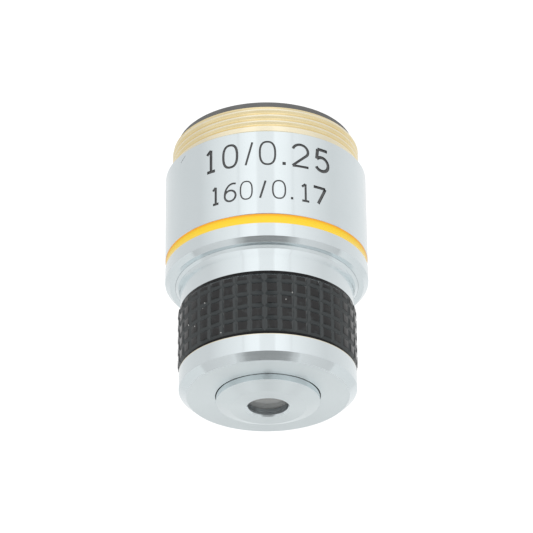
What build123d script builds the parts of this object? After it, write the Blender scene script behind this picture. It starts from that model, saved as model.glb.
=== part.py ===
from build123d import *
from math import sqrt
import os

# Low-power microscope objective for a finite tube, in millimetres. +Z is the optical axis, towards the tube.
# The origin is the centre of the locating shoulder: the screw stands above it and the nose hangs below it.

# Clearances on the radius: between screwed pieces, between sliding pieces, and for cement and enamel
screw_clearance = 0.05
slip_clearance = 0.02
bond_gap = 0.01

# Mount body: the standard objective screw at its outside diameter, the collar under it, and the tube
thread_length = 3.45
thread_chamfer = 0.12
shoulder_width = 0.74
collar_step = 0.5
collar_depth = 2.0
mount_tube_wall = 1.05

# Outer barrel, the relief that keeps its shoulder clear of the screw, and its colour band
barrel_length = 13.13
barrel_wall = 1.84
relief_gap = 0.2
relief_depth = 0.6
barrel_bevel = 0.5
barrel_edge_break = 0.12
lip_edge_break = 0.05
band_width = 1.07
band_to_bevel = 1.5
band_groove_depth = 0.3
band_recess = 0.07

# Nose sleeve, seen as the neck between barrel and grip. A bevelled collar closes the barrel's foot.
neck_exposed = 2.78
neck_overlap = 1.6
neck_step = 0.63
neck_collar_step = 0.51
neck_collar_drop = 0.09
neck_bevel_height = 0.07
neck_bevel_inset = 0.12
counterbore_relief = 0.2
sleeve_wall = 2.03
spigot_wall = 1.28
sleeve_end_gap = 0.2
lock_cover = 1.3

# Checkered grip ring, with 45 degree flanks on its studs
grip_length = 7.29
grip_wall = 0.58
grip_rim = 0.3
rim_drop = 0.02
stud_height = 0.26
stud_row_pitch = 1.43
stud_columns = 38
stud_turn = 3.3

# Nose cap
cap_length = 2.745
cap_wall = 0.71
cap_floor = 1.345
cap_bevel_height = 0.71
cap_bevel_inset = 0.79
cap_edge_break = 0.08

# Front cell with the coned tip and the front window
window_radius = 2.1
window_lip = 0.85
window_chamfer = 0.18
window_cover = 1.1
front_cell_wall = 2.24
tip_gap = 0.06
tip_wall_length = 0.67
tip_cone_height = 0.62
tip_cone_inset = 1.46
cell_flange = 1.09

# Front doublet: a flat-faced flint towards the object, and a crown cemented behind it
front_flint_centre = 0.9
front_cement_curve = 5.5
front_crown_edge = 0.5
front_back_curve = 6.5

# Rear doublet of the same form, and its cell
rear_cell_wall = 1.63
rear_flint_centre = 1.0
rear_cement_curve = 9.0
rear_crown_edge = 0.6
rear_back_curve = 11.5
rear_lip = 0.8
rear_lip_width = 0.5

# Rings, washer and tube of the lens stack
lens_ring_width = 0.6
lens_ring_height = 0.8
ring_recess = 0.2
washer_thickness = 0.25
washer_width = 2.3
spacer_length = 6.0
spacer_wall = 1.75
stop_thickness = 0.3
stop_cover = 0.3
stack_lock_height = 1.2
stack_lock_wall = 0.95
sleeve_lock_height = 1.2
sleeve_lock_wall = 1.4
slot_width = 1.0
slot_depth = 0.4

# Rear baffle with its rim above the screw
rim_height = 0.86
rim_overhang = 1.65
rim_edge_break = 0.12
plug_length = 2.8
plug_step = 0.75
baffle_wall = 0.9
baffle_end_gap = 1.8
glare_grooves = 5
glare_pitch = 1.6
glare_depth = 0.35
glare_land = 0.3
glare_margin = 0.9
spanner_hole_radius = 0.6
spanner_hole_depth = 0.6


def dome_drop(curve_radius, at_radius):
    """Fall of a sphere below its crown, at a distance from the axis."""
    return curve_radius - sqrt(curve_radius**2 - at_radius**2)


# Radii, from the front window outwards
front_lens_radius = window_radius + window_cover
front_pocket = front_lens_radius + slip_clearance
tip_radius = front_pocket + front_cell_wall
cell_radius = tip_radius + cell_flange
rear_pocket = cell_radius - rear_cell_wall
rear_lens_radius = rear_pocket - slip_clearance
sleeve_bore = cell_radius + slip_clearance
seat_radius = sleeve_bore + sleeve_wall
neck_radius = seat_radius + neck_step
cap_socket = seat_radius + screw_clearance
cap_radius = cap_socket + cap_wall
spigot_radius = sleeve_bore + spigot_wall
mount_bore = spigot_radius + screw_clearance
mount_tube_radius = mount_bore + mount_tube_wall
barrel_bore = mount_tube_radius + screw_clearance
barrel_radius = barrel_bore + barrel_wall
neck_collar_radius = neck_radius + neck_collar_step
barrel_lip_radius = neck_collar_radius + slip_clearance
thread_radius = barrel_radius - shoulder_width
collar_radius = mount_tube_radius + collar_step

# Heights, from the shoulder down to the tip
barrel_bottom = -barrel_length
neck_top = barrel_bottom + neck_overlap
neck_collar_bottom = barrel_bottom - neck_collar_drop
grip_top = barrel_bottom - neck_exposed
grip_bottom = grip_top - grip_length
cap_bottom = grip_bottom - cap_length
cap_floor_top = cap_bottom + cap_floor
sleeve_bottom = cap_floor_top + sleeve_end_gap
tip_cone_top = cap_bottom - tip_wall_length
tip_bottom = tip_cone_top - tip_cone_height

# Heights in the lens stack, from the front window up to the lock rings
front_seat = tip_bottom + window_lip
front_crown_bottom = front_seat + front_flint_centre + bond_gap
front_crown_shoulder = front_crown_bottom + dome_drop(front_cement_curve, front_lens_radius) + front_crown_edge
front_crown_top = front_crown_shoulder + dome_drop(front_back_curve, front_lens_radius)
front_ring_bore = front_lens_radius - lens_ring_width
front_ring_base = front_crown_top - dome_drop(front_back_curve, front_ring_bore) + bond_gap
front_cell_top = front_ring_base + lens_ring_height + ring_recess
spacer_base = front_cell_top + washer_thickness
rear_cell_base = spacer_base + spacer_length
rear_seat = rear_cell_base + rear_lip
rear_crown_bottom = rear_seat + rear_flint_centre + bond_gap
rear_crown_shoulder = rear_crown_bottom + dome_drop(rear_cement_curve, rear_lens_radius) + rear_crown_edge
rear_crown_top = rear_crown_shoulder + dome_drop(rear_back_curve, rear_lens_radius)
rear_ring_bore = rear_lens_radius - lens_ring_width
rear_ring_base = rear_crown_top - dome_drop(rear_back_curve, rear_ring_bore) + bond_gap
rear_cell_top = rear_ring_base + lens_ring_height + ring_recess
stack_lock_base = rear_cell_top + stop_thickness
sleeve_top = stack_lock_base + stack_lock_height + lock_cover
sleeve_lock_top = sleeve_top + sleeve_lock_height

os.makedirs("parts", exist_ok=True)

# Brass mount body: the screw above the shoulder, the collar that the barrel is screwed up to, and the tube
with BuildPart() as mount_body:
    with BuildSketch():
        Circle(thread_radius)
    extrude(amount=thread_length)
    chamfer(mount_body.faces().sort_by(Axis.Z)[-1].edges(), length=thread_chamfer)
    with BuildSketch():
        Circle(collar_radius)
    extrude(amount=-collar_depth)
    with BuildSketch():
        Circle(mount_tube_radius)
    extrude(amount=neck_top)
    Hole(mount_bore)
mount_body.part.label = "mount_body"
export_step(mount_body.part, "parts/mount_body.step")

# Chromed outer barrel, screwed up to the collar. Its top face is the shoulder, and the sleeve closes its foot.
band_bottom = barrel_bottom + barrel_bevel + band_to_bevel
with BuildPart() as outer_barrel:
    with BuildSketch():
        Circle(barrel_radius)
    extrude(amount=barrel_bottom)
    CounterBoreHole(barrel_bore, collar_radius + slip_clearance, collar_depth)
    Hole(thread_radius + relief_gap, relief_depth)
    with BuildSketch(Plane.XY.offset(barrel_bottom)):
        Circle(barrel_lip_radius)
    extrude(amount=neck_overlap + counterbore_relief, mode=Mode.SUBTRACT)
    foot_edges = outer_barrel.faces().sort_by(Axis.Z)[0].edges().sort_by(SortBy.RADIUS)
    shoulder_edges = outer_barrel.faces().sort_by(Axis.Z)[-1].edges().sort_by(SortBy.RADIUS)
    chamfer(foot_edges[-1], length=barrel_bevel)
    chamfer(foot_edges[0], length=lip_edge_break)
    chamfer(shoulder_edges[-1], length=barrel_edge_break)
    with BuildSketch(Plane.XY.offset(band_bottom)):
        Circle(barrel_radius)
        Circle(barrel_radius - band_groove_depth, mode=Mode.SUBTRACT)
    extrude(amount=band_width, mode=Mode.SUBTRACT)
outer_barrel.part.label = "outer_barrel"
export_step(outer_barrel.part, "parts/outer_barrel.step")

# Yellow enamel that fills the barrel's groove to just under the chrome
with BuildPart() as colour_band:
    with BuildSketch(Plane.XY.offset(band_bottom)):
        Circle(barrel_radius - band_recess)
        Circle(barrel_radius - band_groove_depth + bond_gap, mode=Mode.SUBTRACT)
    extrude(amount=band_width)
colour_band.part.label = "colour_band"
export_step(colour_band.part, "parts/colour_band.step")

# Chromed nose sleeve: the spigot for the mount body, the collar and neck, the grip's seat and the bore
with BuildPart() as nose_sleeve:
    with BuildSketch(Plane.XZ):
        with BuildLine():
            Polyline(
                (sleeve_bore, sleeve_top),
                (spigot_radius, sleeve_top),
                (spigot_radius, neck_top),
                (neck_collar_radius, neck_top),
                (neck_collar_radius, neck_collar_bottom + neck_bevel_height),
                (neck_collar_radius - neck_bevel_inset, neck_collar_bottom),
                (neck_radius, neck_collar_bottom),
                (neck_radius, grip_top),
                (seat_radius, grip_top),
                (seat_radius, sleeve_bottom),
                (sleeve_bore, sleeve_bottom),
                close=True,
            )
        make_face()
    revolve(axis=Axis.Z)
nose_sleeve.part.label = "nose_sleeve"
export_step(nose_sleeve.part, "parts/nose_sleeve.step")

# Black grip ring: plain rims at both ends, and between them rows of flat-topped square studs.
# The rows are counted from the nose end, and the row next to the neck takes up the rest.
grip_bore = seat_radius + slip_clearance
grip_root = grip_bore + grip_wall
stud_foot = grip_bottom + grip_rim
stud_head = grip_top - grip_rim
stud_rows = round((stud_head - stud_foot) / stud_row_pitch)
groove_angle = stud_turn - 90 + 180 / stud_columns
groove_reach = 2 * stud_height


def stud_row(foot, head):
    """Many-sided collar with one flat for each stud, chamfered down to the root at both ends."""
    with BuildPart() as collar:
        with BuildSketch(Plane.XY.offset(foot)):
            RegularPolygon(grip_root + stud_height, stud_columns, major_radius=False, rotation=groove_angle)
        extrude(amount=head - foot)
        chamfer(collar.faces().filter_by(Axis.Z).edges(), length=stud_height)
    return collar.part


with BuildPart() as grip_ring:
    with BuildSketch(Plane.XY.offset(grip_bottom)):
        Circle(grip_root - rim_drop)
    extrude(amount=grip_length)
    for row in range(stud_rows):
        row_foot = stud_foot + row * stud_row_pitch
        row_head = stud_head if row == stud_rows - 1 else row_foot + stud_row_pitch
        add(stud_row(row_foot, row_head))
    with BuildSketch(Plane.XY.offset(grip_bottom)):
        with PolarLocations(grip_root, stud_columns, start_angle=groove_angle):
            Polygon((0, 0), (groove_reach, groove_reach), (groove_reach, -groove_reach), align=None)
    extrude(amount=grip_length, mode=Mode.SUBTRACT)
    with Locations((0, 0, grip_bottom)):
        Hole(grip_bore)
grip_ring.part.label = "grip_ring"
export_step(grip_ring.part, "parts/grip_ring.step")

# Chromed nose cap: a cup that screws on to the sleeve, clamps the grip and carries the lens stack on its floor
with BuildPart() as nose_cap:
    with BuildSketch(Plane.XZ):
        with BuildLine():
            Polyline(
                (0, grip_bottom),
                (cap_radius - cap_edge_break, grip_bottom),
                (cap_radius, grip_bottom - cap_edge_break),
                (cap_radius, cap_bottom + cap_bevel_height),
                (cap_radius - cap_bevel_inset, cap_bottom),
                (0, cap_bottom),
                close=True,
            )
        make_face()
    revolve(axis=Axis.Z)
    with Locations((0, 0, grip_bottom)):
        CounterBoreHole(tip_radius + tip_gap, cap_socket, cap_length - cap_floor)
nose_cap.part.label = "nose_cap"
export_step(nose_cap.part, "parts/nose_cap.step")

# Chromed front cell: a flange on the cap's floor, the coned tip, and the pocket of the front doublet
with BuildPart() as front_cell:
    with BuildSketch(Plane.XZ):
        with BuildLine():
            Polyline(
                (front_pocket, front_cell_top),
                (cell_radius, front_cell_top),
                (cell_radius, cap_floor_top),
                (tip_radius, cap_floor_top),
                (tip_radius, tip_cone_top),
                (tip_radius - tip_cone_inset, tip_bottom),
                (window_radius + window_chamfer, tip_bottom),
                (window_radius, tip_bottom + window_chamfer),
                (window_radius, front_seat),
                (front_pocket, front_seat),
                close=True,
            )
        make_face()
    revolve(axis=Axis.Z)
front_cell.part.label = "front_cell"
export_step(front_cell.part, "parts/front_cell.step")

# Brass rear cell: an open cup with a lip under the rear doublet
with BuildPart() as rear_cell:
    with BuildSketch(Plane.XY.offset(rear_cell_base)):
        Circle(cell_radius)
    extrude(amount=rear_cell_top - rear_cell_base)
    with Locations((0, 0, rear_cell_top)):
        CounterBoreHole(rear_lens_radius - rear_lip_width, rear_pocket, rear_cell_top - rear_seat)
rear_cell.part.label = "rear_cell"
export_step(rear_cell.part, "parts/rear_cell.step")


def flint_lens(radius, seat, centre, cement_curve):
    """Flat-faced lens with a hollow back, lying on its seat."""
    with BuildPart() as lens:
        with BuildSketch(Plane.XY.offset(seat)):
            Circle(radius)
        extrude(amount=centre + dome_drop(cement_curve, radius))
        with Locations((0, 0, seat + centre + cement_curve)):
            Sphere(cement_curve, mode=Mode.SUBTRACT)
    return lens.part


def crown_lens(radius, bottom, cement_curve, top, back_curve):
    """Lens that bulges both ways, between its two crowns."""
    with BuildPart() as lens:
        with BuildSketch(Plane.XY.offset(bottom)):
            Circle(radius)
        extrude(amount=top - bottom)
        with Locations((0, 0, bottom + cement_curve)):
            Sphere(cement_curve, mode=Mode.INTERSECT)
        with Locations((0, 0, top - back_curve)):
            Sphere(back_curve, mode=Mode.INTERSECT)
    return lens.part


def plain_ring(outer, inner, base, height):
    """Washer or tube on the axis."""
    with BuildPart() as ring:
        with BuildSketch(Plane.XY.offset(base)):
            Circle(outer)
            Circle(inner, mode=Mode.SUBTRACT)
        extrude(amount=height)
    return ring.part


def slotted_ring(outer, inner, base, height):
    """Screwed ring with a spanner slot across its upper face."""
    with BuildPart() as ring:
        add(plain_ring(outer, inner, base, height))
        with BuildSketch(Plane.XY.offset(base + height)):
            Rectangle(3 * outer, slot_width)
        extrude(amount=-slot_depth, mode=Mode.SUBTRACT)
    return ring.part


# The two doublets, and the rings that hold, space, stop and lock them
lens_stack = {
    "front_flint_lens": flint_lens(front_lens_radius, front_seat, front_flint_centre, front_cement_curve),
    "front_crown_lens": crown_lens(
        front_lens_radius, front_crown_bottom, front_cement_curve, front_crown_top, front_back_curve
    ),
    "front_lens_ring": slotted_ring(front_lens_radius, front_ring_bore, front_ring_base, lens_ring_height),
    "spacing_washer": plain_ring(cell_radius, cell_radius - washer_width, front_cell_top, washer_thickness),
    "spacer_tube": plain_ring(cell_radius, cell_radius - spacer_wall, spacer_base, spacer_length),
    "rear_flint_lens": flint_lens(rear_lens_radius, rear_seat, rear_flint_centre, rear_cement_curve),
    "rear_crown_lens": crown_lens(
        rear_lens_radius, rear_crown_bottom, rear_cement_curve, rear_crown_top, rear_back_curve
    ),
    "rear_lens_ring": slotted_ring(rear_lens_radius, rear_ring_bore, rear_ring_base, lens_ring_height),
    "aperture_stop": plain_ring(cell_radius, rear_ring_bore - stop_cover, rear_cell_top, stop_thickness),
    "stack_lock_ring": slotted_ring(
        cell_radius, cell_radius - stack_lock_wall, stack_lock_base, stack_lock_height
    ),
    "sleeve_lock_ring": slotted_ring(
        spigot_radius, spigot_radius - sleeve_lock_wall, sleeve_top, sleeve_lock_height
    ),
}
for name, piece in lens_stack.items():
    piece.label = name
    export_step(piece, f"parts/{name}.step")

# Black rear baffle: a rim on the end of the screw, a plug screwed into the mount body, and the glare tube with
# its V grooves, which trap stray light
rim_top = thread_length + rim_height
plug_bottom = thread_length - plug_length
baffle_bottom = sleeve_lock_top + baffle_end_gap
baffle_radius = spigot_radius - plug_step
baffle_bore = baffle_radius - baffle_wall
groove_width = glare_pitch - glare_land
with BuildPart() as rear_baffle:
    with BuildSketch(Plane.XY.offset(rim_top)):
        Circle(mount_bore + rim_overhang)
    extrude(amount=-rim_height)
    chamfer(rear_baffle.faces().sort_by(Axis.Z)[-1].edges(), length=rim_edge_break)
    with BuildSketch(Plane.XY.offset(thread_length)):
        Circle(spigot_radius)
    extrude(amount=-plug_length)
    with BuildSketch(Plane.XY.offset(plug_bottom)):
        Circle(baffle_radius)
    extrude(amount=baffle_bottom - plug_bottom)
    Hole(baffle_bore)
    with BuildSketch(Plane.XZ):
        for groove in range(glare_grooves):
            with Locations((baffle_bore, rim_top - glare_margin - groove * glare_pitch)):
                Polygon((0, 0), (glare_depth, -groove_width / 2), (0, -groove_width), align=None)
    revolve(axis=Axis.Z, mode=Mode.SUBTRACT)
    with Locations((0, 0, rim_top)):
        with PolarLocations(mount_bore, 2):
            Hole(spanner_hole_radius, spanner_hole_depth)
rear_baffle.part.label = "rear_baffle"
export_step(rear_baffle.part, "parts/rear_baffle.step")
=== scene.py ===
import math

import bpy
from mathutils import Matrix, Vector


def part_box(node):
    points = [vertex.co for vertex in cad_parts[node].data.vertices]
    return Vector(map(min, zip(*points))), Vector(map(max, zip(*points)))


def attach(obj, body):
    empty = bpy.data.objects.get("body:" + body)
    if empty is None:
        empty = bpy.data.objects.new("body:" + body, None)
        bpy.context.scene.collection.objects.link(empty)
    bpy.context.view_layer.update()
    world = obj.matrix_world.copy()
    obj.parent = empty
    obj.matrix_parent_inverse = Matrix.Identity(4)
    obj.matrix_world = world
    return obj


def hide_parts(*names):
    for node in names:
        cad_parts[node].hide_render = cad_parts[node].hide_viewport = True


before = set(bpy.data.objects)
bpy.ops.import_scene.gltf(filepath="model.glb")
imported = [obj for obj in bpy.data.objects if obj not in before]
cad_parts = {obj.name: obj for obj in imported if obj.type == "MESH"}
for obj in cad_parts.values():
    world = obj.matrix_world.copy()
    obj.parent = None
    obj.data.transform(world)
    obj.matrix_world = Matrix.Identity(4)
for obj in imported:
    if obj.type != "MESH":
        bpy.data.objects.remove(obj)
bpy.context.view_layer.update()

# Mount body: turned from brass bar and left bare where the screw goes into the nosepiece.
# The screw is the standard objective screw, cut with one point, and it starts from a plain land above the
# shoulder. The tube below it carries the barrel outside and the nose sleeve inside.
mm = 0.001
turning_steps = 192
merge_distance = 0.0005 * mm


def turn(name, outline, edge=0.035 * mm):
    """Spins a closed outline of (radius, height) points round the optical axis and breaks its edges."""
    bpy.ops.object.select_all(action="DESELECT")
    bpy.ops.mesh.primitive_plane_add(size=mm)
    piece = bpy.context.object
    piece.name = name
    piece.data.name = name
    bpy.ops.object.mode_set(mode="EDIT")
    bpy.ops.mesh.select_mode(type="VERT")
    bpy.ops.mesh.merge(type="CENTER")
    bpy.ops.transform.translate(value=(outline[0][0], 0, outline[0][1]))
    for start, end in zip(outline, outline[1:] + outline[:1]):
        step = (end[0] - start[0], 0, end[1] - start[1])
        bpy.ops.mesh.extrude_vertices_move(TRANSFORM_OT_translate={"value": step})
    bpy.ops.mesh.select_all(action="SELECT")
    bpy.ops.mesh.remove_doubles(threshold=merge_distance)
    bpy.ops.mesh.spin(steps=turning_steps, angle=2 * math.pi, center=(0, 0, 0), axis=(0, 0, 1))
    bpy.ops.mesh.select_all(action="SELECT")
    bpy.ops.mesh.remove_doubles(threshold=merge_distance)
    bpy.ops.mesh.normals_make_consistent(inside=False)
    bpy.ops.object.mode_set(mode="OBJECT")
    if edge:
        rounding = piece.modifiers.new("edge_break", "BEVEL")
        rounding.width = edge
        rounding.segments = 2
        rounding.limit_method = "ANGLE"
        rounding.angle_limit = math.radians(20)
        bpy.ops.object.modifier_apply(modifier=rounding.name)
    return piece


def smooth(piece, angle=40):
    """Shades a piece smooth where its faces meet below an angle."""
    bpy.ops.object.select_all(action="DESELECT")
    piece.select_set(True)
    bpy.context.view_layer.objects.active = piece
    bpy.ops.object.shade_smooth_by_angle(angle=math.radians(angle))


def dress(piece, node, slot, *materials):
    """Gives a piece its materials, and puts it in the place of a solid of the frame."""
    piece.data.materials.clear()
    for material in materials:
        piece.data.materials.append(material)
    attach(piece, "root")
    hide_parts(node)


def turned_metal(
    name, colour, stain, roughness, metallic=1.0, grain=0.0, mark_depth=0.0006 * mm, streaks=0.25
):
    """Metal with the ring marks of the lathe in its gloss, and a faint cloudy stain in its colour."""
    mark_spacing = 0.22 * mm
    stain_size = 2.5 * mm
    material = bpy.data.materials.new(name)
    material.use_nodes = True
    nodes, links = material.node_tree.nodes, material.node_tree.links
    shader = nodes["Principled BSDF"]
    shader.inputs["Metallic"].default_value = metallic
    shader.inputs["Anisotropic"].default_value = grain
    shader.inputs["Anisotropic Rotation"].default_value = 0.25
    around = nodes.new("ShaderNodeTangent")
    around.direction_type = "RADIAL"
    around.axis = "Z"
    links.new(around.outputs[0], shader.inputs["Tangent"])
    place = nodes.new("ShaderNodeTexCoord")
    split = nodes.new("ShaderNodeSeparateXYZ")
    links.new(place.outputs["Object"], split.inputs[0])
    flat = nodes.new("ShaderNodeVectorMath")
    flat.operation = "MULTIPLY"
    flat.inputs[1].default_value = (1, 1, 0)
    links.new(place.outputs["Object"], flat.inputs[0])
    radius = nodes.new("ShaderNodeVectorMath")
    radius.name = "radius"
    radius.operation = "LENGTH"
    links.new(flat.outputs[0], radius.inputs[0])
    ring = nodes.new("ShaderNodeCombineXYZ")
    links.new(radius.outputs["Value"], ring.inputs["X"])
    links.new(split.outputs["Z"], ring.inputs["Y"])
    marks = nodes.new("ShaderNodeTexNoise")
    marks.inputs["Scale"].default_value = 1 / mark_spacing
    marks.inputs["Detail"].default_value = 3
    marks.inputs["Roughness"].default_value = 0.7
    links.new(ring.outputs[0], marks.inputs["Vector"])
    bump = nodes.new("ShaderNodeBump")
    bump.inputs["Strength"].default_value = 1
    bump.inputs["Distance"].default_value = mark_depth
    links.new(marks.outputs["Fac"], bump.inputs["Height"])
    links.new(bump.outputs["Normal"], shader.inputs["Normal"])
    gloss = nodes.new("ShaderNodeMapRange")
    gloss.inputs["From Min"].default_value = 0.3
    gloss.inputs["From Max"].default_value = 0.7
    gloss.inputs["To Min"].default_value = roughness * (1 - streaks)
    gloss.inputs["To Max"].default_value = roughness * (1 + streaks)
    links.new(marks.outputs["Fac"], gloss.inputs["Value"])
    links.new(gloss.outputs[0], shader.inputs["Roughness"])
    cloud = nodes.new("ShaderNodeTexNoise")
    cloud.inputs["Scale"].default_value = 1 / stain_size
    cloud.inputs["Detail"].default_value = 4
    links.new(place.outputs["Object"], cloud.inputs["Vector"])
    tint = nodes.new("ShaderNodeValToRGB")
    tint.name = "tint"
    tint.color_ramp.elements[0].position = 0.35
    tint.color_ramp.elements[0].color = (*stain, 1)
    tint.color_ramp.elements[1].position = 0.62
    tint.color_ramp.elements[1].color = (*colour, 1)
    links.new(cloud.outputs["Fac"], tint.inputs["Fac"])
    links.new(tint.outputs["Color"], shader.inputs["Base Color"])
    return material


mount_low, mount_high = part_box("mount_body")
thread_radius = mount_high.x
thread_end = mount_high.z
thread_chamfer = 0.2 * mm
thread_pitch = 25.4 / 36 * mm
thread_depth = 0.15 * mm
thread_run_in = 0.5 * thread_pitch
crest_flat = 0.02
first_crest = 0.9 * mm
land_bottom = 0.4 * mm
land_top = 0.72 * mm
land_drop = 0.02 * mm
undercut_radius = 9.72 * mm
undercut_height = 0.1 * mm
collar_radius = 9.45 * mm
collar_bottom = -2.0 * mm
mount_tube_radius = 8.95 * mm
mount_bore = 7.9 * mm
rows_per_turn = 18
thread_rows = math.ceil((thread_end - land_top) / thread_pitch * rows_per_turn)
mount_outline = [
    (mount_bore, mount_low.z),
    (mount_tube_radius, mount_low.z),
    (mount_tube_radius, collar_bottom),
    (collar_radius, collar_bottom),
    (collar_radius, 0),
    (undercut_radius, 0),
    (undercut_radius, undercut_height),
    (thread_radius - land_drop, land_bottom),
]
for row in range(thread_rows + 1):
    height = land_top + (thread_end - land_top) * row / thread_rows
    mount_outline.append((min(thread_radius, thread_radius - thread_chamfer + thread_end - height), height))
mount_outline.append((mount_bore, thread_end))
mount_body = turn("mount_body_turned", mount_outline, edge=0)
for vertex in mount_body.data.vertices:
    x, y, height = vertex.co
    reach = math.hypot(x, y)
    if height > land_top - merge_distance and reach > collar_radius:
        turns_up = (height - first_crest) / thread_pitch - math.atan2(x, -y) / (2 * math.pi)
        fall = 1 - abs(2 * (turns_up % 1) - 1)
        groove = min(1, max(0, fall - crest_flat) / (1 - 2 * crest_flat))
        run_in = min(1, max(0, (height - land_top) / thread_run_in))
        cut_radius = thread_radius - max(thread_depth * groove * run_in, land_drop * (1 - run_in))
        share = min(reach, cut_radius) / reach
        vertex.co.x *= share
        vertex.co.y *= share
smooth(mount_body)
bare_brass = turned_metal(
    "bare_brass", (0.94, 0.795, 0.48), (0.92, 0.765, 0.435), roughness=0.2, mark_depth=0.0002 * mm
)
# The outer 0.06 mm of the screw, its crests and its land, is painted paler: a painted highlight for the
# bright lines that the crests catch.
crest_highlight_width = 0.06 * mm
nodes, links = bare_brass.node_tree.nodes, bare_brass.node_tree.links
shader = nodes["Principled BSDF"]
crest_highlight_mask = nodes.new("ShaderNodeMapRange")
crest_highlight_mask.inputs["From Min"].default_value = thread_radius - crest_highlight_width
crest_highlight_mask.inputs["From Max"].default_value = thread_radius
links.new(nodes["radius"].outputs["Value"], crest_highlight_mask.inputs["Value"])
crest_highlight_mix = nodes.new("ShaderNodeMix")
crest_highlight_mix.data_type = "RGBA"
crest_highlight_mix.inputs["B"].default_value = (0.95, 0.89, 0.72, 1)
links.new(crest_highlight_mask.outputs[0], crest_highlight_mix.inputs["Factor"])
links.new(nodes["tint"].outputs["Color"], crest_highlight_mix.inputs["A"])
links.new(crest_highlight_mix.outputs["Result"], shader.inputs["Base Color"])
dress(mount_body, "mount_body", "bare_brass", bare_brass)

# Outer barrel: a turned and chromed sleeve that is screwed up to the collar of the mount body.
# Its top face is the locating shoulder, its foot is bevelled, and a square groove holds the colour band.
# The optical ratings are engraved and filled with black paint, and use has left a scratch.
barrel_low, barrel_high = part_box("outer_barrel")
band_low, band_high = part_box("colour_band")
barrel_radius = barrel_high.x
barrel_bevel = 0.5 * mm
barrel_edge_break = 0.12 * mm
barrel_bore = 9.0 * mm
barrel_lip_radius = 9.745 * mm
barrel_lip_top = -11.33 * mm
relief_radius = 10.3 * mm
relief_bottom = -0.6 * mm
band_groove_depth = 0.3 * mm
groove_edge_break = 0.07 * mm
collar_clearance = 0.02 * mm
outer_barrel = turn("outer_barrel_engraved", [
    (barrel_bore, barrel_lip_top),
    (barrel_lip_radius, barrel_lip_top),
    (barrel_lip_radius, barrel_low.z),
    (barrel_radius - barrel_bevel, barrel_low.z),
    (barrel_radius, barrel_low.z + barrel_bevel),
    (barrel_radius, band_low.z),
    (barrel_radius - band_groove_depth, band_low.z),
    (barrel_radius - band_groove_depth, band_high.z),
    (barrel_radius - groove_edge_break, band_high.z),
    (barrel_radius, band_high.z + groove_edge_break),
    (barrel_radius, -barrel_edge_break),
    (barrel_radius - barrel_edge_break, 0),
    (relief_radius, 0),
    (relief_radius, relief_bottom),
    (collar_radius + collar_clearance, relief_bottom),
    (collar_radius + collar_clearance, collar_bottom),
    (barrel_bore, collar_bottom),
], edge=0.03 * mm)


def smooth_turned(piece, angle=40):
    """Shades a turned piece: round about the axis, straight along it, blended only in its broken edges."""
    smooth(piece, angle)
    mesh = piece.data
    normals = [corner.vector.copy() for corner in mesh.corner_normals]
    turned_faces = []
    widest = {}
    for face in mesh.polygons:
        outward = Vector((face.center.x, face.center.y, 0)).normalized()
        if abs(outward.cross(face.normal).z) < math.sin(math.pi / turning_steps):
            turned_faces.append(face)
            for index in face.vertices:
                if index not in widest or face.area > widest[index].area:
                    widest[index] = face
    for face in turned_faces:
        for corner in face.loop_indices:
            index = mesh.loops[corner].vertex_index
            lead = widest[index].normal
            outward = Vector((*mesh.vertices[index].co.xy, 0)).normalized()
            if outward.length and lead.angle(face.normal) < math.radians(angle):
                side = math.copysign(lead.xy.length, lead.dot(outward))
                normals[corner] = side * outward + Vector((0, 0, lead.z))
    mesh.normals_split_custom_set(normals)


chrome_plate = turned_metal(
    "chrome_plate", (0.785, 0.848, 0.87), (0.775, 0.84, 0.86), roughness=0.13, grain=1.0
)


def bow(centre, reach, first, last, squareness=2.0, steps=24):
    """Points on an oval between two angles. A squareness over 2 flattens its sides."""
    points = []
    for step in range(steps + 1):
        angle = math.radians(first + (last - first) * step / steps)
        across, up = math.cos(angle), math.sin(angle)
        points.append((
            centre[0] + reach[0] * math.copysign(abs(across) ** (2 / squareness), across),
            centre[1] + reach[1] * math.copysign(abs(up) ** (2 / squareness), up),
        ))
    return points


# Each numeral is a few strokes of the cutter in a cell one unit wide and one unit high.
numeral_strokes = {
    "0": [bow((0.5, 0.5), (0.5, 0.5), 0, 360, squareness=2.5, steps=48)],
    "1": [[(0.0, 0.82), (0.5, 1.0)], [(0.5, 1.0), (0.5, 0.0)], [(0.0, 0.0), (1.0, 0.0)]],
    "2": [bow((0.5, 0.7), (0.48, 0.3), 165, -28) + [(0.0, 0.0)], [(0.0, 0.0), (1.0, 0.0)]],
    "5": [
        [(0.93, 1.0), (0.14, 1.0)],
        [(0.14, 1.0), (0.06, 0.53)],
        bow((0.47, 0.32), (0.53, 0.32), 140, -150, steps=36),
    ],
    "6": [bow((0.5, 0.31), (0.5, 0.31), 0, 360, steps=40), bow((0.78, 0.34), (0.78, 0.66), 72, 180)],
    "7": [[(0.0, 1.0), (1.0, 1.0)], [(1.0, 1.0), (0.36, 0.0)]],
    "/": [[(0.0, 0.0), (1.0, 1.0)]],
    ".": [[(0.0, 0.5), (1.0, 0.5)]],
}
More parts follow.
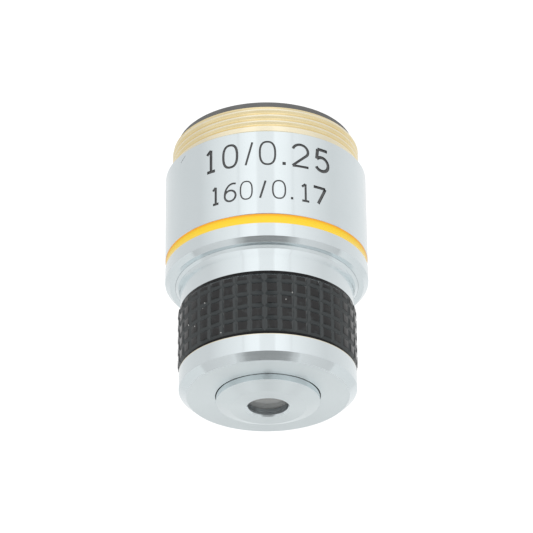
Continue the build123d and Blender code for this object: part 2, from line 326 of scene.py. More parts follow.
# A cell holds a numeral, its left and right sides in degrees round the barrel, and its stroke width.
rating_lines = [
    {
        "top": -1.3 * mm,
        "bottom": -4.24 * mm,
        "cells": [
            ("1", -35.5, -28.4, 0.36 * mm),
            ("0", -24.8, -15.2, 0.27 * mm),
            ("/", -11.6, -6.6, 0.22 * mm),
            ("0", -3.6, 6.1, 0.22 * mm),
            (".", 9.5, 11.4, 0.36 * mm),
            ("2", 14.5, 25.5, 0.3 * mm),
            ("5", 28.5, 38.6, 0.38 * mm),
        ],
    },
    {
        "top": -6.0 * mm,
        "bottom": -8.28 * mm,
        "cells": [
            ("1", -31.4, -26.4, 0.29 * mm),
            ("6", -23.9, -16.3, 0.22 * mm),
            ("0", -14.5, -7.1, 0.16 * mm),
            ("/", -3.7, 0.6, 0.22 * mm),
            ("0", 3.5, 11.4, 0.17 * mm),
            (".", 14.0, 15.4, 0.28 * mm),
            ("1", 19.9, 25.5, 0.26 * mm),
            ("7", 26.8, 36.2, 0.34 * mm),
        ],
    },
]


def cut_stroke(path, cell, line):
    """One pass of the round-nosed cutter along a path, laid on the barrel, as a closed tube."""
    numeral, left_side, right_side, width = cell
    half = width / 2
    half_turn = math.degrees(half / barrel_radius)
    left, right = left_side + half_turn, right_side - half_turn
    bottom, top = line["bottom"] + half, line["top"] - half
    if numeral == ".":
        left, right, top = left_side, right_side, bottom + half / 2
        bottom = top
    closed = math.dist(path[0], path[-1]) < merge_distance
    curve = bpy.data.curves.new("stroke", "CURVE")
    curve.dimensions = "3D"
    curve.bevel_depth = half
    curve.bevel_resolution = 2
    curve.use_fill_caps = True
    spline = curve.splines.new("POLY")
    ends = path[:-1] if closed else path
    spline.points.add(len(ends) - 1)
    for point, (across, up) in zip(spline.points, ends):
        turn_angle = math.radians(left + across * (right - left))
        height = bottom + up * (top - bottom)
        point.co = (barrel_radius * math.sin(turn_angle), -barrel_radius * math.cos(turn_angle), height, 1)
    spline.use_cyclic_u = closed
    stroke = bpy.data.objects.new("stroke", curve)
    bpy.context.collection.objects.link(stroke)
    return stroke


bpy.ops.object.select_all(action="DESELECT")
strokes = []
for line in rating_lines:
    for cell in line["cells"]:
        strokes += [cut_stroke(path, cell, line) for path in numeral_strokes[cell[0]]]
scratch_line = {"top": -0.55 * mm, "bottom": -1.12 * mm}
strokes.append(cut_stroke([(0, 0), (1, 1)], ("scratch", -56.4, -51.7, 0.06 * mm), scratch_line))
for stroke in strokes:
    stroke.select_set(True)
bpy.context.view_layer.objects.active = strokes[0]
bpy.ops.object.convert(target="MESH")
bpy.ops.object.join()
cutter = bpy.context.object


def cloudy_paint(name, colour, patch, roughness, patch_size):
    """A black finish with a fine uneven tone and grain."""
    grain_depth = 0.01 * mm
    material = bpy.data.materials.new(name)
    material.use_nodes = True
    nodes, links = material.node_tree.nodes, material.node_tree.links
    shader = nodes["Principled BSDF"]
    shader.inputs["Roughness"].default_value = roughness
    place = nodes.new("ShaderNodeTexCoord")
    cloud = nodes.new("ShaderNodeTexNoise")
    cloud.inputs["Scale"].default_value = 1 / patch_size
    cloud.inputs["Detail"].default_value = 5
    links.new(place.outputs["Object"], cloud.inputs["Vector"])
    tint = nodes.new("ShaderNodeValToRGB")
    tint.color_ramp.elements[0].position = 0.4
    tint.color_ramp.elements[0].color = (*colour, 1)
    tint.color_ramp.elements[1].position = 0.65
    tint.color_ramp.elements[1].color = (*patch, 1)
    links.new(cloud.outputs["Fac"], tint.inputs["Fac"])
    links.new(tint.outputs["Color"], shader.inputs["Base Color"])
    bump = nodes.new("ShaderNodeBump")
    bump.inputs["Strength"].default_value = 0.4
    bump.inputs["Distance"].default_value = grain_depth
    links.new(cloud.outputs["Fac"], bump.inputs["Height"])
    links.new(bump.outputs["Normal"], shader.inputs["Normal"])
    return material


# This dark paint fills the engraving and the lens edges, and it also stands as a painted shade in the hole
# round the nose's tip.
black_paint_and_gap_shade = cloudy_paint(
    "black_paint_and_gap_shade", (0.036, 0.037, 0.039), (0.066, 0.068, 0.071), roughness=0.3, patch_size=0.25 * mm
)
shader = black_paint_and_gap_shade.node_tree.nodes["Principled BSDF"]
shader.inputs["Coat Weight"].default_value = 1
shader.inputs["Coat Roughness"].default_value = 0.2
outer_barrel.data.materials.append(chrome_plate)
cutter.data.materials.clear()
cutter.data.materials.append(black_paint_and_gap_shade)
engraving = outer_barrel.modifiers.new("engraving", "BOOLEAN")
engraving.object = cutter
engraving.operation = "DIFFERENCE"
engraving.solver = "EXACT"
engraving.use_self = True
engraving.material_mode = "TRANSFER"
bpy.ops.object.select_all(action="DESELECT")
bpy.context.view_layer.objects.active = outer_barrel
bpy.ops.object.modifier_apply(modifier=engraving.name)
bpy.data.objects.remove(cutter)
smooth_turned(outer_barrel)
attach(outer_barrel, "root")
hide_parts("outer_barrel")

# Colour band: yellow enamel run into the barrel's groove, the code colour of this power.
# The enamel has drawn back a little while drying, so its face is hollow and thickest at both edges.
band_edge_recess = 0.03 * mm
band_hollow = 0.09 * mm
band_bond = 0.01 * mm
band_steps = 12
band_height = band_high.z - band_low.z
band_face = []
for step in range(band_steps + 1):
    share = step / band_steps
    sag = band_edge_recess + band_hollow * (1 - (2 * share - 1) ** 2)
    band_face.append((barrel_radius - sag, band_low.z + band_height * share))
band_root = barrel_radius - band_groove_depth + band_bond
band_outline = [(band_root, band_low.z), *band_face, (band_root, band_high.z)]
colour_band = turn("colour_band_enamel", band_outline, edge=0)
smooth_turned(colour_band)
yellow_enamel = bpy.data.materials.new("yellow_enamel")
yellow_enamel.use_nodes = True
nodes, links = yellow_enamel.node_tree.nodes, yellow_enamel.node_tree.links
shader = nodes["Principled BSDF"]
shader.inputs["Roughness"].default_value = 0.28
shader.inputs["Coat Weight"].default_value = 0.15
shader.inputs["Coat Roughness"].default_value = 0.12
place = nodes.new("ShaderNodeTexCoord")
split = nodes.new("ShaderNodeSeparateXYZ")
links.new(place.outputs["Object"], split.inputs[0])
rise = nodes.new("ShaderNodeMapRange")
rise.inputs["From Min"].default_value = band_low.z
rise.inputs["From Max"].default_value = band_high.z
links.new(split.outputs["Z"], rise.inputs["Value"])
# The band is painted from yellow at its foot to orange at its top: a painted shade under the groove's upper
# edge, where the hollow face turns down.
band_painted_shade = nodes.new("ShaderNodeValToRGB")
band_painted_shade.color_ramp.elements[0].position = 0.0
band_painted_shade.color_ramp.elements[0].color = (1.0, 0.68, 0.02, 1)
band_painted_shade.color_ramp.elements[1].position = 1.0
band_painted_shade.color_ramp.elements[1].color = (0.96, 0.36, 0.0, 1)
band_shade_start = band_painted_shade.color_ramp.elements.new(0.7)
band_shade_start.color = (1.0, 0.66, 0.01, 1)
links.new(rise.outputs[0], band_painted_shade.inputs["Fac"])
links.new(band_painted_shade.outputs["Color"], shader.inputs["Base Color"])
ripple_size = 0.8 * mm
ripple_depth = 0.01 * mm
ripple = nodes.new("ShaderNodeTexNoise")
ripple.inputs["Scale"].default_value = 1 / ripple_size
links.new(place.outputs["Object"], ripple.inputs["Vector"])
bump = nodes.new("ShaderNodeBump")
bump.inputs["Strength"].default_value = 0.3
bump.inputs["Distance"].default_value = ripple_depth
links.new(ripple.outputs["Fac"], bump.inputs["Height"])
links.new(bump.outputs["Normal"], shader.inputs["Normal"])
dress(colour_band, "colour_band", "yellow_enamel", yellow_enamel)

# Nose sleeve: turned and chromed, screwed into the mount body from below and locked by a ring inside.
# Its bevelled collar closes the barrel's foot and runs out into the neck with a slight cone. The grip is
# pushed on to its lower part, and the lens stack slides in its bore.
sleeve_low, sleeve_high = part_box("nose_sleeve")
grip_low, grip_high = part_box("grip_ring")
neck_collar_radius = sleeve_high.x
neck_radius = 9.23 * mm
neck_collar_drop = 0.01 * mm
neck_bevel_height = 0.21 * mm
neck_cone_radius = 9.44 * mm
neck_cone_height = 0.6 * mm
neck_bevel_top = barrel_low.z - neck_collar_drop
neck_cone_top = neck_bevel_top - neck_bevel_height
sleeve_bore = 6.57 * mm
spigot_radius = 7.85 * mm
seat_radius = 8.6 * mm
nose_sleeve = turn("nose_sleeve_turned", [
    (sleeve_bore, sleeve_low.z),
    (seat_radius, sleeve_low.z),
    (seat_radius, grip_high.z),
    (neck_radius, grip_high.z),
    (neck_radius, neck_cone_top - neck_cone_height),
    (neck_cone_radius, neck_cone_top),
    (neck_collar_radius, neck_bevel_top),
    (neck_collar_radius, mount_low.z),
    (spigot_radius, mount_low.z),
    (spigot_radius, sleeve_high.z),
    (sleeve_bore, sleeve_high.z),
], edge=0.015 * mm)
smooth_turned(nose_sleeve)
dress(nose_sleeve, "nose_sleeve", "chrome_plate", chrome_plate)

# Grip ring: moulded black, with rows of square studs for the fingers and a plain rim at both ends.
# One flat is copied up into a column, a stud is drawn up from each flat, and the column is copied round the
# ring. The row next to the neck is a short one.
stud_columns = 38
stud_row_pitch = 1.43 * mm
stud_height = 0.26 * mm
stud_flank = 0.32 * mm
stud_turn = math.radians(3.3)
grip_rim = 0.3 * mm
rim_drop = 0.02 * mm
grip_root = 9.2 * mm
grip_bore_flat = 8.62 * mm
stud_softness = 0.15 * mm
stud_weld = 0.004 * mm
level_tolerance = 0.01 * mm
half_column = math.pi / stud_columns
stud_width = 2 * grip_root * math.tan(half_column)
stud_foot = grip_low.z + grip_rim
stud_head = grip_high.z - grip_rim
stud_rows = round((stud_head - stud_foot) / stud_row_pitch)


def select_level(mesh, level):
    """Selects the open edges that lie at one height, in edit mode."""
    bpy.ops.mesh.select_all(action="DESELECT")
    bpy.ops.object.mode_set(mode="OBJECT")
    for edge in mesh.edges:
        ends = [mesh.vertices[index].co.z for index in edge.vertices]
        edge.select = all(abs(end - level) < level_tolerance for end in ends)
    bpy.ops.object.mode_set(mode="EDIT")


bpy.ops.object.select_all(action="DESELECT")
bpy.ops.mesh.primitive_plane_add(size=1, rotation=(math.pi / 2, 0, 0), location=(0, -grip_root, 0))
grip_ring = bpy.context.object
grip_ring.name = "grip_ring_studded"
bpy.ops.object.transform_apply(location=True, rotation=True, scale=True)
bpy.ops.object.mode_set(mode="EDIT")
bpy.ops.mesh.select_mode(type="VERT")
bpy.ops.mesh.select_all(action="SELECT")
bpy.ops.transform.resize(value=(stud_width, 1, stud_row_pitch), center_override=(0, -grip_root, 0))
bpy.ops.transform.translate(value=(0, 0, stud_foot + stud_row_pitch / 2))
for row in range(1, stud_rows):
    bpy.ops.mesh.duplicate_move(TRANSFORM_OT_translate={"value": (0, 0, stud_row_pitch)})
top_row = stud_head - stud_foot - (stud_rows - 1) * stud_row_pitch
top_row_foot = stud_head - top_row
bpy.ops.transform.resize(
    value=(1, 1, top_row / stud_row_pitch), center_override=(0, -grip_root, top_row_foot)
)
bpy.ops.mesh.select_all(action="SELECT")
bpy.ops.mesh.select_mode(type="FACE")
bpy.ops.mesh.inset(thickness=stud_flank, depth=stud_height, use_individual=True)
bpy.ops.mesh.select_all(action="SELECT")
bpy.ops.transform.rotate(value=-stud_turn, orient_axis="Z", center_override=(0, 0, 0))
bpy.ops.mesh.spin(steps=stud_columns, dupli=True, angle=2 * math.pi, center=(0, 0, 0), axis=(0, 0, 1))
bpy.ops.mesh.select_all(action="SELECT")
bpy.ops.mesh.remove_doubles(threshold=stud_weld)
bpy.ops.mesh.select_mode(type="EDGE")
rim_scale = (grip_root - rim_drop) / grip_root
bore_scale = grip_bore_flat / (grip_root - rim_drop)
for level, outward in ((stud_foot, -1), (stud_head, 1)):
    select_level(grip_ring.data, level)
    bpy.ops.mesh.extrude_edges_move(TRANSFORM_OT_translate={"value": (0, 0, 0)})
    bpy.ops.transform.resize(value=(rim_scale, rim_scale, 1), center_override=(0, 0, level))
    bpy.ops.mesh.extrude_edges_move(TRANSFORM_OT_translate={"value": (0, 0, outward * grip_rim)})
    bpy.ops.mesh.extrude_edges_move(TRANSFORM_OT_translate={"value": (0, 0, 0)})
    bpy.ops.transform.resize(value=(bore_scale, bore_scale, 1), center_override=(0, 0, level))
bpy.ops.mesh.select_all(action="SELECT")
bpy.ops.mesh.select_non_manifold(
    extend=False, use_wire=False, use_multi_face=False, use_non_contiguous=False, use_verts=False
)
bpy.ops.mesh.bridge_edge_loops()
bpy.ops.mesh.select_all(action="SELECT")
bpy.ops.mesh.normals_make_consistent(inside=False)
bpy.ops.object.mode_set(mode="OBJECT")
softening = grip_ring.modifiers.new("moulded_edges", "BEVEL")
softening.width = stud_softness
softening.segments = 3
softening.limit_method = "ANGLE"
softening.angle_limit = math.radians(25)
bpy.ops.object.modifier_apply(modifier=softening.name)
smooth(grip_ring, angle=50)
black_grip = bpy.data.materials.new("black_grip")
black_grip.use_nodes = True
nodes, links = black_grip.node_tree.nodes, black_grip.node_tree.links
shader = nodes["Principled BSDF"]
shader.inputs["Roughness"].default_value = 0.12
shader.inputs["Specular IOR Level"].default_value = 0.5
place = nodes.new("ShaderNodeTexCoord")
flat = nodes.new("ShaderNodeVectorMath")
flat.operation = "MULTIPLY"
flat.inputs[1].default_value = (1, 1, 0)
links.new(place.outputs["Object"], flat.inputs[0])
radius = nodes.new("ShaderNodeVectorMath")
radius.operation = "LENGTH"
links.new(flat.outputs[0], radius.inputs[0])
# The grooves and lower flanks are painted grey and the stud tops near black. The grey is dust together with
# a painted reflection of the bright surroundings in the flanks, and noise makes it patchy.
valley = nodes.new("ShaderNodeMapRange")
valley.inputs["From Min"].default_value = grip_root - rim_drop
valley.inputs["From Max"].default_value = grip_root + stud_height
links.new(radius.outputs["Value"], valley.inputs["Value"])
valley_sheen_and_dust = nodes.new("ShaderNodeValToRGB")
valley_sheen_and_dust.color_ramp.elements[0].position = 0.7
valley_sheen_and_dust.color_ramp.elements[0].color = (0.036, 0.042, 0.044, 1)
valley_sheen_and_dust.color_ramp.elements[1].position = 0.97
valley_sheen_and_dust.color_ramp.elements[1].color = (0.003, 0.003, 0.0035, 1)
patchiness_size = 0.7 * mm
patchiness = nodes.new("ShaderNodeTexNoise")
patchiness.inputs["Scale"].default_value = 1 / patchiness_size
patchiness.inputs["Detail"].default_value = 3
links.new(place.outputs["Object"], patchiness.inputs["Vector"])
uneven = nodes.new("ShaderNodeMapRange")
uneven.inputs["To Min"].default_value = 0.65
uneven.inputs["To Max"].default_value = 1.35
links.new(patchiness.outputs["Fac"], uneven.inputs["Value"])
sheen_and_dust_mask = nodes.new("ShaderNodeMath")
sheen_and_dust_mask.operation = "MULTIPLY"
links.new(valley.outputs[0], sheen_and_dust_mask.inputs[0])
links.new(uneven.outputs[0], sheen_and_dust_mask.inputs[1])
links.new(sheen_and_dust_mask.outputs[0], valley_sheen_and_dust.inputs["Fac"])
grain_size = 0.3 * mm
grain_depth = 0.01 * mm
grain = nodes.new("ShaderNodeTexNoise")
grain.inputs["Scale"].default_value = 1 / grain_size
grain.inputs["Detail"].default_value = 5
links.new(place.outputs["Object"], grain.inputs["Vector"])
bump = nodes.new("ShaderNodeBump")
bump.inputs["Strength"].default_value = 0.4
bump.inputs["Distance"].default_value = grain_depth
links.new(grain.outputs["Fac"], bump.inputs["Height"])
links.new(bump.outputs["Normal"], shader.inputs["Normal"])
speck_spacing = 1.1 * mm
speck_share = 0.085
specks_left_out = 0.6
scatter = nodes.new("ShaderNodeTexVoronoi")
scatter.inputs["Scale"].default_value = 1 / speck_spacing
links.new(place.outputs["Object"], scatter.inputs["Vector"])
speck = nodes.new("ShaderNodeMath")
speck.operation = "LESS_THAN"
speck.inputs[1].default_value = speck_share
links.new(scatter.outputs["Distance"], speck.inputs[0])
chosen = nodes.new("ShaderNodeMath")
chosen.operation = "GREATER_THAN"
chosen.inputs[1].default_value = specks_left_out
links.new(scatter.outputs["Color"], chosen.inputs[0])
dust = nodes.new("ShaderNodeMath")
dust.operation = "MULTIPLY"
links.new(speck.outputs[0], dust.inputs[0])
links.new(chosen.outputs[0], dust.inputs[1])
dusty = nodes.new("ShaderNodeMix")
dusty.data_type = "RGBA"
dusty.inputs["B"].default_value = (0.35, 0.35, 0.34, 1)
links.new(dust.outputs[0], dusty.inputs["Factor"])
links.new(valley_sheen_and_dust.outputs["Color"], dusty.inputs["A"])
links.new(dusty.outputs["Result"], shader.inputs["Base Color"])
# The plain rims at both ends are painted blacker and duller than the studs: a painted shade where the grip
# meets the neck and the cap.
rim_painted_shade = cloudy_paint(
    "rim_painted_shade", (0.003, 0.003, 0.0035), (0.008, 0.008, 0.009), roughness=0.3, patch_size=0.4 * mm
)
rim_painted_shade.node_tree.nodes["Principled BSDF"].inputs["Specular IOR Level"].default_value = 0.2
dress(grip_ring, "grip_ring", "black_grip", black_grip, rim_painted_shade)
# Faces outside the studded rows take the rim's painted shade.
for face in grip_ring.data.polygons:
    face.material_index = int(not stud_foot < face.center.z < stud_head)

# Nose cap: a turned and chromed cup that screws on to the sleeve and clamps the grip against the neck.
# Its floor carries the lens stack, and the tip of the front cell passes through it. The plating is worn
# thin round the top edge, so that the brass shows, and the hole round the tip is painted dark: a painted
# shade of the narrow gap round the tip.
cap_low, cap_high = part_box("nose_cap")
cap_radius = cap_high.x
cap_bevel_height = 0.71 * mm
cap_bevel_inset = 0.79 * mm
cap_edge_break = 0.06 * mm
cap_wear = 0.08 * mm
cap_wear_bottom = cap_high.z - cap_edge_break - cap_wear
cap_face_slope = -0.95
cap_socket = 8.65 * mm
cap_floor_top = -24.6 * mm
tip_hole = 5.52 * mm
hole_edge_break = 0.02 * mm
nose_cap = turn("nose_cap_turned", [
    (cap_socket, cap_high.z),
    (cap_socket, cap_floor_top),
    (tip_hole, cap_floor_top),
    (tip_hole, cap_low.z + hole_edge_break),
    (tip_hole + hole_edge_break, cap_low.z),
    (cap_radius - cap_bevel_inset, cap_low.z),
    (cap_radius, cap_low.z + cap_bevel_height),
    (cap_radius, cap_wear_bottom),
    (cap_radius, cap_high.z - cap_edge_break),
    (cap_radius - cap_edge_break, cap_high.z),
])
smooth_turned(nose_cap)
faced_chrome = turned_metal(
    "faced_chrome",
    (0.81, 0.87, 0.885),
    (0.8, 0.86, 0.875),
    roughness=0.3,
    grain=1.0,
    mark_depth=0.00004 * mm,
    streaks=0.06,
)
worn_plate = turned_metal(
    "worn_plate", (0.9, 0.85, 0.7), (0.9, 0.83, 0.65), roughness=0.2, mark_depth=0.0002 * mm
)
dress(nose_cap, "nose_cap", "chrome_plate", chrome_plate, worn_plate, black_paint_and_gap_shade, faced_chrome)
for face in nose_cap.data.polygons:
    reach = face.center.xy.length
    if reach > cap_radius - 2 * cap_edge_break and face.center.z > cap_wear_bottom:
        face.material_index = 1
    # The hole's wall takes the dark paint as a painted shade of the gap round the tip.
    elif reach < tip_hole + hole_edge_break:
        face.material_index = 2
    elif face.normal.z < cap_face_slope:
        face.material_index = 3

# Front cell: a turned and chromed cup with a coned tip. Its flange stands on the cap's floor, and the front
# doublet lies on the lip round the window, whose wall is chrome painted darker as the shade inside the
# window.
cell_low, cell_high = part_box("front_cell")
cell_radius = cell_high.x
tip_radius = 5.46 * mm
tip_cone_top = -26.615 * mm
tip_cone_inset = 1.46 * mm
front_pocket = 3.22 * mm
window_radius = 2.1 * mm
window_lip = 0.85 * mm
window_chamfer = 0.18 * mm
window_wall_reach = window_radius + 0.02 * mm
tip_face_slope = -0.85
front_cell = turn("front_cell_turned", [
    (front_pocket, cell_high.z),
    (front_pocket, cell_low.z + window_lip),
    (window_radius, cell_low.z + window_lip),
    (window_radius, cell_low.z + window_chamfer),
    (window_radius + window_chamfer, cell_low.z),
    (tip_radius - tip_cone_inset, cell_low.z),
    (tip_radius, tip_cone_top),
    (tip_radius, cap_floor_top),
    (cell_radius, cap_floor_top),
    (cell_radius, cell_high.z),
])
smooth_turned(front_cell)
# Darker chrome for the window's wall: a painted shade inside the window.
window_shade_chrome = turned_metal(
    "window_shade_chrome", (0.42, 0.45, 0.47), (0.36, 0.39, 0.41), roughness=0.3, grain=1.0
)
dress(front_cell, "front_cell", "chrome_plate", chrome_plate, faced_chrome, window_shade_chrome)
for face in front_cell.data.polygons:
    if face.normal.z < tip_face_slope:
        face.material_index = 1
    # The window's wall takes the painted shade.
    elif face.center.xy.length < window_wall_reach:
        face.material_index = 2

# Lenses: two cemented doublets, each a flat-faced flint towards the object with a crown behind it.
# The cement leaves no gap between the two glasses, so a doublet is one clear body. Its faces are polished
# and coated, and its ground edge is painted black.


def lens_glass(name, colour, index, clearness, reflection):
    """Clear coated glass with a trace of dust in its gloss."""
    material = bpy.data.materials.new(name)
    material.use_nodes = True
    nodes, links = material.node_tree.nodes, material.node_tree.links
    shader = nodes["Principled BSDF"]
    shader.inputs["Base Color"].default_value = (*colour, 1)
    shader.inputs["IOR"].default_value = index
    shader.inputs["Specular IOR Level"].default_value = reflection
    shader.inputs["Transmission Weight"].default_value = clearness
    place = nodes.new("ShaderNodeTexCoord")
    dust_size = 0.3 * mm
    dust = nodes.new("ShaderNodeTexNoise")
    dust.inputs["Scale"].default_value = 1 / dust_size
    dust.inputs["Detail"].default_value = 6
    links.new(place.outputs["Object"], dust.inputs["Vector"])
    haze = nodes.new("ShaderNodeMapRange")
    haze.inputs["From Min"].default_value = 0.6
    haze.inputs["From Max"].default_value = 0.8
    haze.inputs["To Min"].default_value = 0.0
    haze.inputs["To Max"].default_value = 0.15
    links.new(dust.outputs["Fac"], haze.inputs["Value"])
    links.new(haze.outputs[0], shader.inputs["Roughness"])
    return material


def dome(curve, radius, crown, steps=16):
    """Outline of a spherical face, from its crown on the axis down to the lens edge."""
    points = []
    for step in range(steps + 1):
        reach = radius * step / steps
        points.append((reach, crown - (curve - math.sqrt(curve * curve - reach * reach))))
    return points


ground_edge_slope = 0.1
crown_glass = lens_glass("crown_glass", (0.94, 0.97, 0.96), 1.52, clearness=0.88, reflection=0.25)
flint_glass = lens_glass("flint_glass", (0.93, 0.95, 0.93), 1.62, clearness=0.77, reflection=0.06)
for place_name, back_curve, slot, glass in (
    ("front", 6.5 * mm, "flint_glass", flint_glass),
    ("rear", 11.5 * mm, "crown_glass", crown_glass),
):
    flint_low, flint_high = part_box(f"{place_name}_flint_lens")
    crown_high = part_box(f"{place_name}_crown_lens")[1]
    lens_radius = flint_high.x
    back_face = dome(back_curve, lens_radius, crown_high.z)
    doublet_outline = [(0, flint_low.z), (lens_radius, flint_low.z), *back_face[::-1]]
    doublet = turn(f"{place_name}_doublet_polished", doublet_outline, edge=0)
    smooth_turned(doublet)
    doublet.data.materials.append(glass)
    doublet.data.materials.append(black_paint_and_gap_shade)
    for face in doublet.data.polygons:
        face.material_index = int(abs(face.normal.z) < ground_edge_slope)
    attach(doublet, "root")
    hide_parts(f"{place_name}_flint_lens", f"{place_name}_crown_lens")

# Rings of the lens stack: turned brass, blacked in an acid bath so that they don't reflect inside.
# They hold, space and lock the doublets, and the thin stop behind the rear doublet is black anodised.
blackened_brass = turned_metal(
    "blackened_brass", (0.075, 0.072, 0.068), (0.095, 0.088, 0.08), roughness=0.5, metallic=0.3
)
black_anodised = turned_metal(
    "black_anodised", (0.14, 0.141, 0.14), (0.12, 0.121, 0.121), roughness=0.42, metallic=0.0
)
for ring_name in (
    "front_lens_ring",
    "spacing_washer",
    "spacer_tube",
    "rear_cell",
    "rear_lens_ring",
    "stack_lock_ring",
    "sleeve_lock_ring",
):
    ring_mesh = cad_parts[ring_name].data
    ring_mesh.materials.clear()
    ring_mesh.materials.append(blackened_brass)
stop_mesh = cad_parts["aperture_stop"].data
stop_mesh.materials.clear()
stop_mesh.materials.append(black_anodised)

# Rear baffle: a black anodised ring that closes the end of the screw, with a tube that keeps glare off.
# Fine grooves in its bore trap stray light, and two blind holes in the rim take a pin spanner.
baffle_low, baffle_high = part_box("rear_baffle")
rim_radius = baffle_high.x
rim_edge_break = 0.12 * mm
plug_height = 2.8 * mm
plug_bottom = thread_end - plug_height
baffle_radius = 7.1 * mm
baffle_bore = 6.2 * mm
glare_grooves = 5
glare_pitch = 1.6 * mm
glare_width = 1.3 * mm
glare_depth = 0.35 * mm
glare_margin = 0.9 * mm
spanner_hole_radius = 0.6 * mm
spanner_hole_depth = 0.6 * mm
baffle_outline = [
    (baffle_bore, baffle_low.z),
    (baffle_radius, baffle_low.z),
    (baffle_radius, plug_bottom),
    (spigot_radius, plug_bottom),
    (spigot_radius, thread_end),
    (rim_radius, thread_end),
    (rim_radius, baffle_high.z - rim_edge_break),
    (rim_radius - rim_edge_break, baffle_high.z),
    (baffle_bore, baffle_high.z),
]
for groove in range(glare_grooves):
    groove_top = baffle_high.z - glare_margin - groove * glare_pitch
    baffle_outline.append((baffle_bore, groove_top))
    baffle_outline.append((baffle_bore + glare_depth, groove_top - glare_width / 2))
    baffle_outline.append((baffle_bore, groove_top - glare_width))
rear_baffle = turn("rear_baffle_grooved", baffle_outline, edge=0.02 * mm)
for side in (1, -1):
    bpy.ops.object.select_all(action="DESELECT")
    bpy.ops.mesh.primitive_cylinder_add(
        vertices=32,
        radius=spanner_hole_radius,
        depth=2 * spanner_hole_depth,
        location=(side * mount_bore, 0, baffle_high.z),
    )
    drill = bpy.context.object
    drilling = rear_baffle.modifiers.new("spanner_hole", "BOOLEAN")
    drilling.object = drill
    drilling.operation = "DIFFERENCE"
    drilling.solver = "EXACT"
    bpy.ops.object.select_all(action="DESELECT")
    bpy.context.view_layer.objects.active = rear_baffle
    bpy.ops.object.modifier_apply(modifier=drilling.name)
    bpy.data.objects.remove(drill)
smooth_turned(rear_baffle)
dress(rear_baffle, "rear_baffle", "black_anodised", black_anodised)

# Floor: a plain sheet of pale, matt paper that throws soft light up on the nose.
# It lies well below the object, because the camera looks up at it.
floor_level = -0.36
floor_size = 4
bpy.ops.object.select_all(action="DESELECT")
bpy.ops.mesh.primitive_plane_add(size=floor_size, location=(0, 0, floor_level))
floor = bpy.context.object
floor.name = "floor"
floor_paper = bpy.data.materials.new("floor_paper")
floor_paper.use_nodes = True
shader = floor_paper.node_tree.nodes["Principled BSDF"]
shader.inputs["Base Color"].default_value = (0.9, 0.91, 0.91, 1)
shader.inputs["Roughness"].default_value = 0.9
floor.data.materials.append(floor_paper)

# Cards above the floor, seen only in the metal: dark ones on the camera's side, grey ones at both sides.
# They shade the middle and the ends of the bevels. Each changes its tone from the inner to the outer part.
card_level = -0.2
for name, left, right, near, far, inner_tone, outer_tone, inner_share in (
    ("camera_card", -0.095, 0.095, -0.05, -0.17, 0.28, 0.5, 0.65),
    ("distant_card", -0.05, 0.05, -0.2, -0.42, 0.28, 0.4, 0.5),
    ("left_card", -0.25, -0.095, 0.065, -0.17, 0.8, 0.68, 0.0),
    ("right_card", 0.095, 0.25, 0.065, -0.17, 0.8, 0.68, 0.0),
    ("left_end_card", -0.4, -0.25, 0.03, -0.16, 0.6, 0.5, 0.0),
    ("right_end_card", 0.25, 0.4, 0.03, -0.16, 0.6, 0.5, 0.0),
):
    inner = max(0, left, -right)
    outer = max(-left, right)
    bpy.ops.object.select_all(action="DESELECT")
    bpy.ops.mesh.primitive_plane_add(size=1, location=((left + right) / 2, (near + far) / 2, card_level))
    card = bpy.context.object
    card.name = name
    bpy.ops.transform.resize(value=(right - left, near - far, 1))
    bpy.ops.object.transform_apply(location=True, rotation=True, scale=True)
    card.visible_camera = False
    card.visible_diffuse = False
    card.visible_shadow = False
    card_paper = bpy.data.materials.new(name)
    card_paper.use_nodes = True
    nodes, links = card_paper.node_tree.nodes, card_paper.node_tree.links
    shader = nodes["Principled BSDF"]
    shader.inputs["Roughness"].default_value = 0.9
    place = nodes.new("ShaderNodeTexCoord")
    split = nodes.new("ShaderNodeSeparateXYZ")
    links.new(place.outputs["Object"], split.inputs[0])
    aside = nodes.new("ShaderNodeMath")
    aside.operation = "ABSOLUTE"
    links.new(split.outputs["X"], aside.inputs[0])
    fade = nodes.new("ShaderNodeMapRange")
    inner_part = (outer - inner) * inner_share
    fade.inputs["From Min"].default_value = inner + inner_part
    fade.inputs["From Max"].default_value = outer - inner_part / 3
    fade.inputs["To Min"].default_value = inner_tone
    fade.inputs["To Max"].default_value = outer_tone
    links.new(aside.outputs[0], fade.inputs["Value"])
    links.new(fade.outputs[0], shader.inputs["Base Color"])
    card.data.materials.append(card_paper)

# Light: a white tent all round, with two tall bright panels in front and dimmer sides.
# The camera sees plain white, also through the glass.
tent_strength = 1.12
# Each pair is an angle round the object, in degrees from the camera's side, and the tone of the tent there.
tent_tones = [
    (-180, 0.98),
    (-140, 0.80),
    (-110, 0.74),
    (-80, 0.73),
    (-60, 0.87),
    (-33, 0.98),
    (-31, 0.89),
    (-29, 1.01),
    (-22, 1.07),
    (-11, 1.10),
    (-9, 0.97),
    (9, 0.97),
    (11, 1.11),
    (22, 1.06),
    (29, 1.00),
    (31, 0.89),
    (33, 0.98),
    (60, 0.85),
    (80, 0.76),
    (100, 0.79),
    (140, 0.88),
    (180, 0.98),
]
world = bpy.data.worlds.new("white_tent")
bpy.context.scene.world = world
world.use_nodes = True
nodes, links = world.node_tree.nodes, world.node_tree.links
background = nodes["Background"]
background.inputs["Strength"].default_value = tent_strength
place = nodes.new("ShaderNodeTexCoord")
facing = nodes.new("ShaderNodeMapping")
facing.inputs["Rotation"].default_value = (0, 0, math.radians(90))
links.new(place.outputs["Generated"], facing.inputs["Vector"])
around = nodes.new("ShaderNodeTexGradient")
around.gradient_type = "RADIAL"
links.new(facing.outputs[0], around.inputs["Vector"])
tent = nodes.new("ShaderNodeValToRGB")
tent.color_ramp.elements.remove(tent.color_ramp.elements[1])
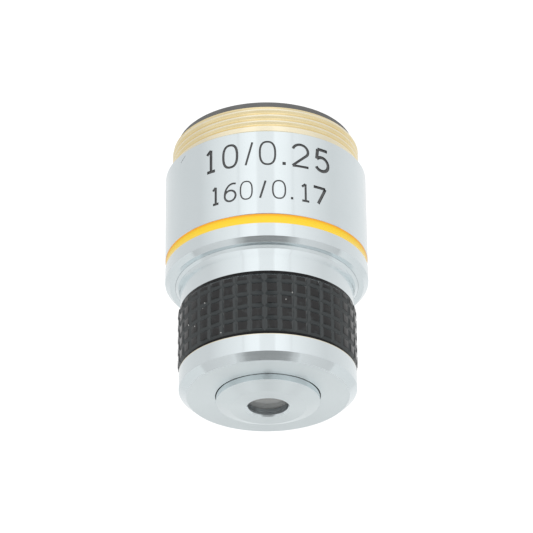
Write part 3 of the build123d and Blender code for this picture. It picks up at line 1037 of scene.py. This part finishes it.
for count, (turn_angle, tone) in enumerate(tent_tones):
    position = 0.5 + turn_angle / 360
    stop = tent.color_ramp.elements.new(position) if count else tent.color_ramp.elements[0]
    stop.position = position
    stop.color = (*[tone / tent_strength] * 3, 1)
links.new(around.outputs["Fac"], tent.inputs["Fac"])
ray = nodes.new("ShaderNodeLightPath")
clear_view = nodes.new("ShaderNodeMath")
clear_view.operation = "MAXIMUM"
links.new(ray.outputs["Is Camera Ray"], clear_view.inputs[0])
links.new(ray.outputs["Is Transmission Ray"], clear_view.inputs[1])
seen = nodes.new("ShaderNodeMix")
seen.data_type = "RGBA"
seen.inputs["B"].default_value = (1, 1, 1, 1)
links.new(clear_view.outputs[0], seen.inputs["Factor"])
links.new(tent.outputs["Color"], seen.inputs["A"])
links.new(seen.outputs["Result"], background.inputs["Color"])

# Soft box: a square lamp above and behind the camera, aimed at the barrel.
# It lifts the enamel and the grip, and no reflection shows it.
soft_box_data = bpy.data.lights.new("soft_box", "AREA")
soft_box_data.size = 0.3
soft_box_data.energy = 0.6
soft_box = bpy.data.objects.new("soft_box", soft_box_data)
bpy.context.collection.objects.link(soft_box)
soft_box.location = (0, -0.55, 0.25)
soft_box_aim = Vector((0, 0, -0.01)) - soft_box.location
soft_box.rotation_euler = soft_box_aim.to_track_quat("-Z", "Y").to_euler()
soft_box.visible_glossy = False

# Camera: a long lens a third of a metre off, looking up at the nose from below.
# A small shift and roll place the object in the picture.
camera_data = bpy.data.cameras.new("camera")
camera_data.sensor_width = 36
camera_data.lens = 205.9
camera_data.shift_x = -0.0073
camera_data.shift_y = 0.0304
camera_data.clip_start = 0.01
camera = bpy.data.objects.new("camera", camera_data)
bpy.context.collection.objects.link(camera)
look_up = math.radians(27.89)
roll = math.radians(-0.652)
distance = 0.3253
target = Vector((0.000384, 0, -0.012462))
camera.location = target + distance * Vector((0, -math.cos(look_up), -math.sin(look_up)))
tilt = Matrix.Rotation(math.radians(90) + look_up, 3, "X") @ Matrix.Rotation(roll, 3, "Z")
camera.rotation_euler = tilt.to_euler()
bpy.context.scene.camera = camera
bpy.context.scene.view_settings.view_transform = "Standard"
